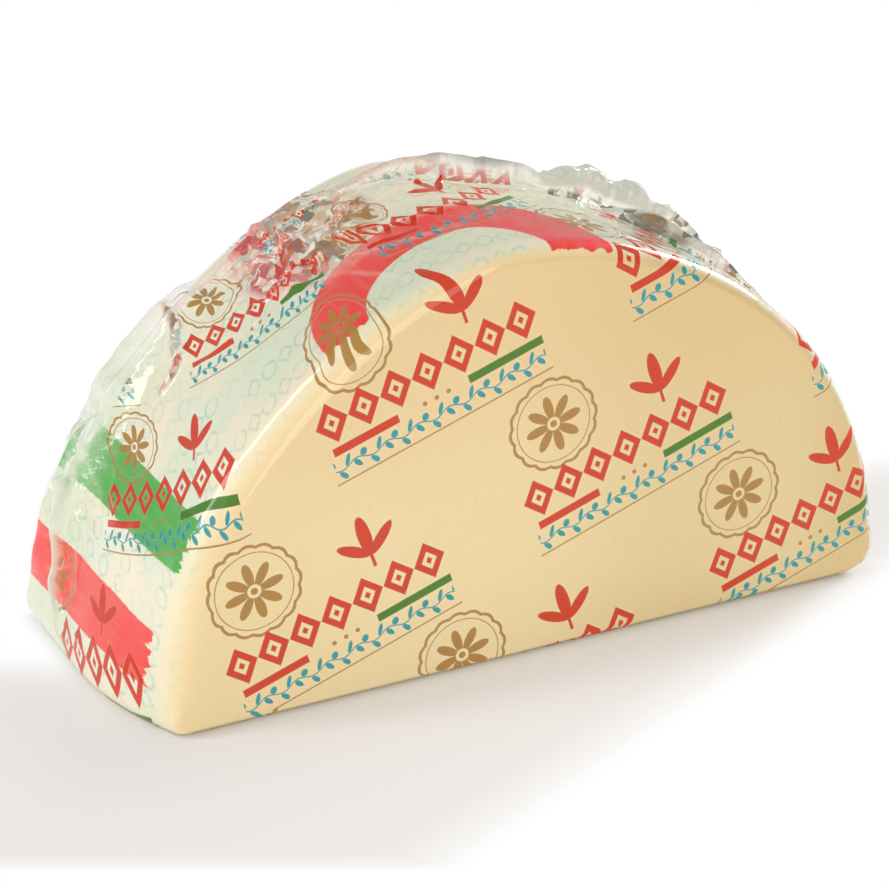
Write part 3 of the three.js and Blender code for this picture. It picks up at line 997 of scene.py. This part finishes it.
def shrink_film(film_print, film_folds, film_facets):
    material, tree, body, output = new_material("shrink_film")
    material.surface_render_method = "BLENDED"
    haze, loose, bunch, bare = (attribute(tree, name) for name in ("haze", "crumple", "bunch", "bare"))
    where = object_place(tree)
    x, _, _ = split(tree, where, 1 / MM)
    streaks = noise(tree, where, 90, Detail=3.0, Distortion=0.6)
    facets = place_group(tree, film_facets, Place=where)
    chance = Field(tree, facets["Chance"])
    right, left = x.ramp(*RIGHT_HALF), 1 - x.ramp(*LEFT_END)

    # painted highlights: white lines along the folds of loose film
    lines = Field(tree, facets["Lines"]) * loose.ramp(0.15, 0.9) * streaks.ramp(0.46, 0.62)
    broken = noise(tree, where, 230, Detail=1.0).ramp(0.42, 0.58)
    lines = lines * broken * (0.8 - haze.ramp(0.5, 0.75) * 0.5)

    # how much crushed print tints the film: in facets at the bunch, along the tail's foot together with
    # painted shade, in the haze
    tint = bunch.ramp(0.12, 0.4) * (chance - right * 0.42).ramp(0.14, 0.16) * (chance * 0.5 + 0.45)
    # on the right, a dark line of painted shade along the tail's foot
    tint = tint.most(right * bunch.ramp(0.5, 0.85) * 0.85)
    blush = noise(tree, where, 36, Detail=1.0).ramp(0.3, 0.55) * haze.ramp(0.4, 0.7)
    tone = tint.most(blush * sum(x.ramp(*span) * share for span, share in BLUSH))

    # painted shade in the haze: darker grey in thick film to the right, greener and darker over the left end
    veil = paint(tree, HAZE_COLOUR, (HAZE_GREY_SHADE, haze.ramp(0.5, 0.75) * x.ramp(*GREY_FROM)),
                 (HAZE_GREEN, left), (crushed_print(tree, x, bunch, chance), tone), (FOLD_HIGHLIGHT, lines))
    cloud = haze * (streaks * 0.9 + 0.55) + tone * (chance.ramp(0.68, 0.74) * 0.3 + 0.62) + lines * 0.55
    ink, mask = film_ink(tree, film_print, haze, loose, bunch, bare)
    fine = Field(tree, place_group(tree, film_folds, Place=where, Pitch=FOLD_PITCH)["Height"])
    coarse = noise(tree, where, 45, Detail=2.0)
    normal = bump(tree, fine * (loose * 1.6 + bunch * 1.4 + 0.03) + coarse * 0.25, 0.0006)

    # the emission stands for light that comes through the loose film
    feed_inputs(tree, body, Base_Color=paint(tree, veil, (ink, mask * (1 - lines * 0.7))), Normal=normal,
                Alpha=(mask * INK_STRENGTH).most(cloud.clamped()), Roughness=0.3, Specular_IOR_Level=0.0,
                Emission_Color=veil, Emission_Strength=(1 - mask) * (0.13 - left * 0.1))
    feed(tree, output.inputs["Surface"], clear_film(tree, body, normal))
    return material


# ---------------------------------------------------------------- the cheese's finish
PASTE = srgb(239, 215, 163)
PASTE_PALE = srgb(240, 218, 168)
PASTE_CROWN_SHADE = srgb(232, 200, 144)     # painted shade, darker towards the crown
PASTE_WARM = srgb(242, 209, 149)     # where paste meets rind
PASTE_RIGHT_SHADE = srgb(212, 183, 119)      # painted shade, darker towards the right
RIM_RIGHT_SHADE = srgb(204, 180, 128)        # painted shade on the rim there
RIND = srgb(249, 232, 206)
RIND_GREEN = srgb(224, 231, 206)
# painted shade: the rind darker on top
RIND_TOP_SHADE = srgb(206, 206, 170)
RIND_EDGE = srgb(245, 228, 182)      # towards the front
# painted shade: the rind darker over the back of the left end
RIND_LEFT_SHADE = srgb(218, 224, 194)
STAMP_MINT = srgb(158, 204, 176)
BAND_GREEN = srgb(70, 170, 62)
BAND_RED = srgb(244, 54, 46)
# painted shade: the red band deeper towards the crown
BAND_RED_TOP_SHADE = srgb(238, 20, 12)
# Heights and stretches over which the tones change, in millimetres
CROWN_SHADE, CROWN_RIND_SHADE, CROWN_RED_SHADE = (45, 125), (70, 135), (80, 130)
RIGHT_PASTE_SHADE, RIGHT_END_SHADE, RIGHT_RIM_SHADE = (-20, 60), (90, 135), (10, 60)         # along x; painted shade darkens the paste and its rim towards the right
LEFT_RIND_SHADE, BACK_RIND_SHADE = (285, 335), (0, 35)           # where painted shade darkens the left end: along the rind from the right foot; in depth
FRONT_RIM = -51                      # depth from which the rim's tone fades
SOFT_EDGE = (230, 300)               # along the rind; past these it reaches further in
STAMP_ROW, STAMP_STEP = 12.5, 14
STAMP_SHIFT, STAMP_SLANT = 7.7, 0.3
STAMP_RING = (0.85, 3.3, 0.55)       # width to height, half height, half width of its line
STAMP_LOZENGE = (0.8, 3.6, 0.75)
GREEN_BAND = (358, 377)              # along the rind from the right foot, in millimetres
RED_BAND = (396, 415)
RED_BAND_DROP = 3.0                  # the red band comes down this much at the slumped corner
BAND_FRONT = (-42.3, -37)            # depths at which the green and the red band start
ARCH_OUTER = (244, -48, 51, 45, 2.6)             # centre along and in depth, half axes, roundness power
ARCH_INNER = (247, -50, 31.5, 27, 2.3)
ARCH_FRONT = (-43, -49.5)            # depths of its left and right feet
BAND_EDGE = 0.5
BRUSH_SCALE = (420, 50, 1)           # brush marks run from front to back, along the bands


def rind_stamp(along, depth, ragged, worn):
    """A faint stamp: rows of rings and lozenges."""
    row, dv = (depth / STAMP_ROW + 0.5).math("FLOOR"), depth.wrap(STAMP_ROW / 2)
    shifted = along + row * STAMP_SHIFT + dv * STAMP_SLANT
    ring_u, lozenge_u = shifted.wrap(STAMP_STEP / 2), (shifted + STAMP_STEP / 2).wrap(STAMP_STEP / 2)
    ring = length_of(ring_u / STAMP_RING[0], dv).off(*STAMP_RING[1:])
    lozenge = (abs(lozenge_u) / STAMP_LOZENGE[0] + abs(dv)).off(*STAMP_LOZENGE[1:])
    return ring.least(lozenge).inside(0.9) * (ragged.ramp(0.38, 0.56) * 0.7 + 0.3) * (worn * 0.8 + 0.2)


def rind_bands(along, depth, brush, ragged):
    """Signed distances to the broad green band, and to the red band and the red arch."""
    wobble = (ragged - 0.5) * 0.8
    frayed = (brush - 0.5) * 7 + (ragged - 0.5) * 6
    drop = (depth * -1).ramp(8, 40) * RED_BAND_DROP
    green, red = (
        (spot.off((low + high) / 2, (high - low) / 2) + wobble).most(front - depth - frayed)
        for spot, (low, high), front in zip((along, along - drop), (GREEN_BAND, RED_BAND), BAND_FRONT))
    outer, inner = (
        ((abs(along - centre) / wide).math("POWER", power)
         + (abs(depth - low) / deep).math("POWER", power)).math("POWER", 1 / power) * wide - wide
        for centre, low, wide, deep, power in (ARCH_OUTER, ARCH_INNER))
    foot = along.ramp(225, 265) * (ARCH_FRONT[0] - ARCH_FRONT[1]) + ARCH_FRONT[1]
    arch = (outer.most(inner * -1) + wobble).most(foot - depth - frayed * 0.6)
    return green, red.least(arch)


def cheese_finish():
    material, tree, body, _ = new_material("provolone")
    where, on_skin = object_place(tree), uv_place(tree, "rind")
    x, _, height = split(tree, where, 1 / MM)
    along, depth, _ = split(tree, on_skin, 1 / MM)
    on_rind = attribute(tree, "on_rind")
    clouds = noise(tree, where, 14, Detail=3.0, Roughness=0.55)
    grain = noise(tree, where, 260, Detail=4.0)
    worn = noise(tree, where, 42, Detail=3.0).ramp(0.36, 0.62)
    ragged = noise(tree, on_skin, 420, Detail=3.0, Distortion=0.4)
    stretched = add_node(tree, "Mapping", Vector=on_skin, Scale=BRUSH_SCALE).outputs[0]
    brush = noise(tree, stretched, 1.0, Detail=2.0)

    # painted shade: the rim's paste and rind edge darker towards the right
    warm, edge = (paint(tree, tone, (RIM_RIGHT_SHADE, x.ramp(*RIGHT_RIM_SHADE))) for tone in (PASTE_WARM, RIND_EDGE))
    paste = paint(
        tree, PASTE,
        (PASTE_PALE, clouds.ramp(0.35, 0.7)),
        # painted shade: the paste darker towards the crown
        (PASTE_CROWN_SHADE, height.ramp(*CROWN_SHADE) * 0.8),
        # painted shade: the paste darker towards the right
        (PASTE_RIGHT_SHADE, x.ramp(*RIGHT_PASTE_SHADE) * 0.45 + x.ramp(*RIGHT_END_SHADE) * 0.4),
        (warm, on_rind.ramp(0.0, 0.3) * 0.7))
    soft = along.ramp(*SOFT_EDGE) * 8 + 3
    rind = paint(
        tree, RIND,
        (RIND_GREEN, clouds.ramp(0.4, 0.62)),
        # painted shade: the rind darker towards the crown
        (RIND_TOP_SHADE, height.ramp(*CROWN_RIND_SHADE) * 0.4),
        # painted shade over the back of the left end
        (RIND_LEFT_SHADE, along.ramp(*LEFT_RIND_SHADE) * depth.ramp(*BACK_RIND_SHADE) * 0.8),
        (STAMP_MINT, rind_stamp(along, depth, ragged, worn) * 0.7),
        (edge, 1 - ((depth - FRONT_RIM) / soft).clamped()))

    green, red = rind_bands(along, depth, brush, ragged)
    strength = brush.ramp(0.15, 0.6) * 0.1 + 0.9
    strength = strength * (on_rind + (ragged - 0.5) * 0.5).ramp(0.25, 0.4)       # ragged at the back rim
    # painted shade: the red deeper towards the crown
    band_red = paint(tree, BAND_RED, (BAND_RED_TOP_SHADE, height.ramp(*CROWN_RED_SHADE)))
    colour = paint(tree, paste, (rind, on_rind), (BAND_GREEN, green.inside(BAND_EDGE) * strength),
                   (band_red, red.inside(BAND_EDGE) * strength))

    pits = Field(tree, add_node(tree, "TexVoronoi", Vector=where, Scale=110).outputs[0]).ramp(0.0, 0.16)
    relief = grain * 0.3 + clouds * 0.9 + pits * 0.5
    feed_inputs(tree, body, Base_Color=colour, Roughness=0.42, Specular_IOR_Level=0.15,
                Subsurface_Weight=0.35, Subsurface_Radius=(1.0, 0.62, 0.3), Subsurface_Scale=0.006,
                Normal=bump(tree, relief, 0.0005))
    return material


# the last of these is a painted grey shade that the floor gives off around the block
FLOOR_NEAR, FLOOR_PALE, FLOOR_SHADE = srgb(238, 237, 236), srgb(242, 241, 240), srgb(239, 234, 230)
AWAY = (0.453, 0.891)    # the camera's direction over the floor
FOOTPRINT = (0.13, 0.046)            # half sizes of the block on the floor, in metres


def floor_finish():
    """A pale floor near the block, which gives off a painted grey shade a little away from it and turns to
    plain white further out.
    """
    material, tree, body, output = new_material("pale_floor")
    where = object_place(tree)
    mottle = noise(tree, where, 6, Detail=2.0)
    feed_inputs(tree, body, Base_Color=paint(tree, FLOOR_NEAR, (FLOOR_PALE, mottle)), Roughness=0.7)
    x, y, _ = split(tree, where)
    leftwards, away = x * -1, x * AWAY[0] + y * AWAY[1]
    beyond = y.ramp(0.0, 0.03)
    for more in (away.ramp(-0.085, -0.04) * leftwards.ramp(0.12, 0.135), (x * 0.44 - y).ramp(0.09, 0.12),
                 (away * -1).ramp(0.16, 0.172), leftwards.ramp(0.22, 0.3)):
        beyond = beyond.most(more)
    clear = length_of((abs(x) - FOOTPRINT[0]).most(0.0), (abs(y) - FOOTPRINT[1]).most(0.0))
    far = (clear.ramp(0.0, 0.01) * 0.35 + clear.ramp(0.01, 0.05) * 0.4).most(beyond * clear.ramp(0.0, 0.01))
    # painted shade: beside the block the floor gives off a grey tone, and plain white further out
    white = add_node(tree, "Emission", Color=paint(tree, FLOOR_SHADE, (WHITE, beyond)))
    feed(tree, output.inputs["Surface"], mix_shaders(tree, far, body.outputs[0], white.outputs[0]))
    return material


# ---------------------------------------------------------------- the pieces
cheese = cheese_block()
film = film_skin()
cheese.data.materials.append(cheese_finish())
film.data.materials.append(shrink_film(film_print_group(), film_folds_group(), film_facets_group()))
for piece in (cheese, film):
    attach(piece, "root")
    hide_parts("wrapped_cheese")

bm = bmesh.new()
bmesh.ops.create_circle(bm, cap_ends=True, segments=96, radius=4)
bmesh.ops.translate(bm, verts=bm.verts, vec=(0, 0, -0.0003))
floor_mesh = bpy.data.meshes.new("floor")
bm.to_mesh(floor_mesh)
bm.free()
floor = bpy.data.objects.new("floor", floor_mesh)
bpy.context.scene.collection.objects.link(floor)
floor.data.materials.append(floor_finish())

# ---------------------------------------------------------------- light and camera
scene = bpy.context.scene
scene.view_settings.view_transform = "Standard"
scene.view_settings.look = "None"
world = bpy.data.worlds.new("white_room")
scene.world = world
world.use_nodes = True
tree = world.node_tree
path = tree.nodes.new("ShaderNodeLightPath")
room = feed_inputs(tree, tree.nodes["Background"], Color=WHITE, Strength=0.5).outputs[0]
for ray, strength in (("Is Glossy Ray", 0.45), ("Is Camera Ray", 1.0)):      # as mirrored, and as seen
    bright = add_node(tree, "Background", Color=WHITE, Strength=strength)
    room = mix_shaders(tree, path.outputs[ray], room, bright.outputs[0])
feed(tree, tree.nodes["World Output"].inputs["Surface"], room)


def soft_light(name, place, target, size, power):
    light = bpy.data.lights.new(name, "AREA")
    light.shape, light.size, light.size_y = "RECTANGLE", *size
    light.energy = power
    lamp = bpy.data.objects.new(name, light)
    lamp.location = place
    lamp.rotation_euler = (Vector(target) - Vector(place)).to_track_quat("-Z", "Y").to_euler()
    scene.collection.objects.link(lamp)


soft_light("key_light", (1.5, 0.4, 0.8), (0, 0, 0.05), (0.7, 0.7), 11)
soft_light("front_fill", (-0.1, -1.65, 0.55), (0, 0, 0.07), (1.2, 0.8), 8.8)
soft_light("left_fill", (-1.5, -0.25, 0.5), (0, 0, 0.07), (0.9, 0.9), 2)
soft_light("left_strip", (-1.03, 0.255, 0.75), (0, 0, 0.07), (0.25, 0.85), 5)
soft_light("right_strip", (1.08, 0.35, 0.58), (0, 0, 0.1), (0.35, 0.5), 2.5)

CAMERA_PLACE = (-0.35884, -0.69714, 0.40233)
CAMERA_DOWN, CAMERA_TURN = 23.92, -26.93         # degrees
view = bpy.data.cameras.new("camera")
view.lens, view.sensor_width, view.clip_start = 105, 36, 0.01
camera = bpy.data.objects.new("camera", view)
camera.location = CAMERA_PLACE
camera.rotation_euler = (math.radians(90 - CAMERA_DOWN), 0, math.radians(CAMERA_TURN))
scene.collection.objects.link(camera)
scene.camera = camera
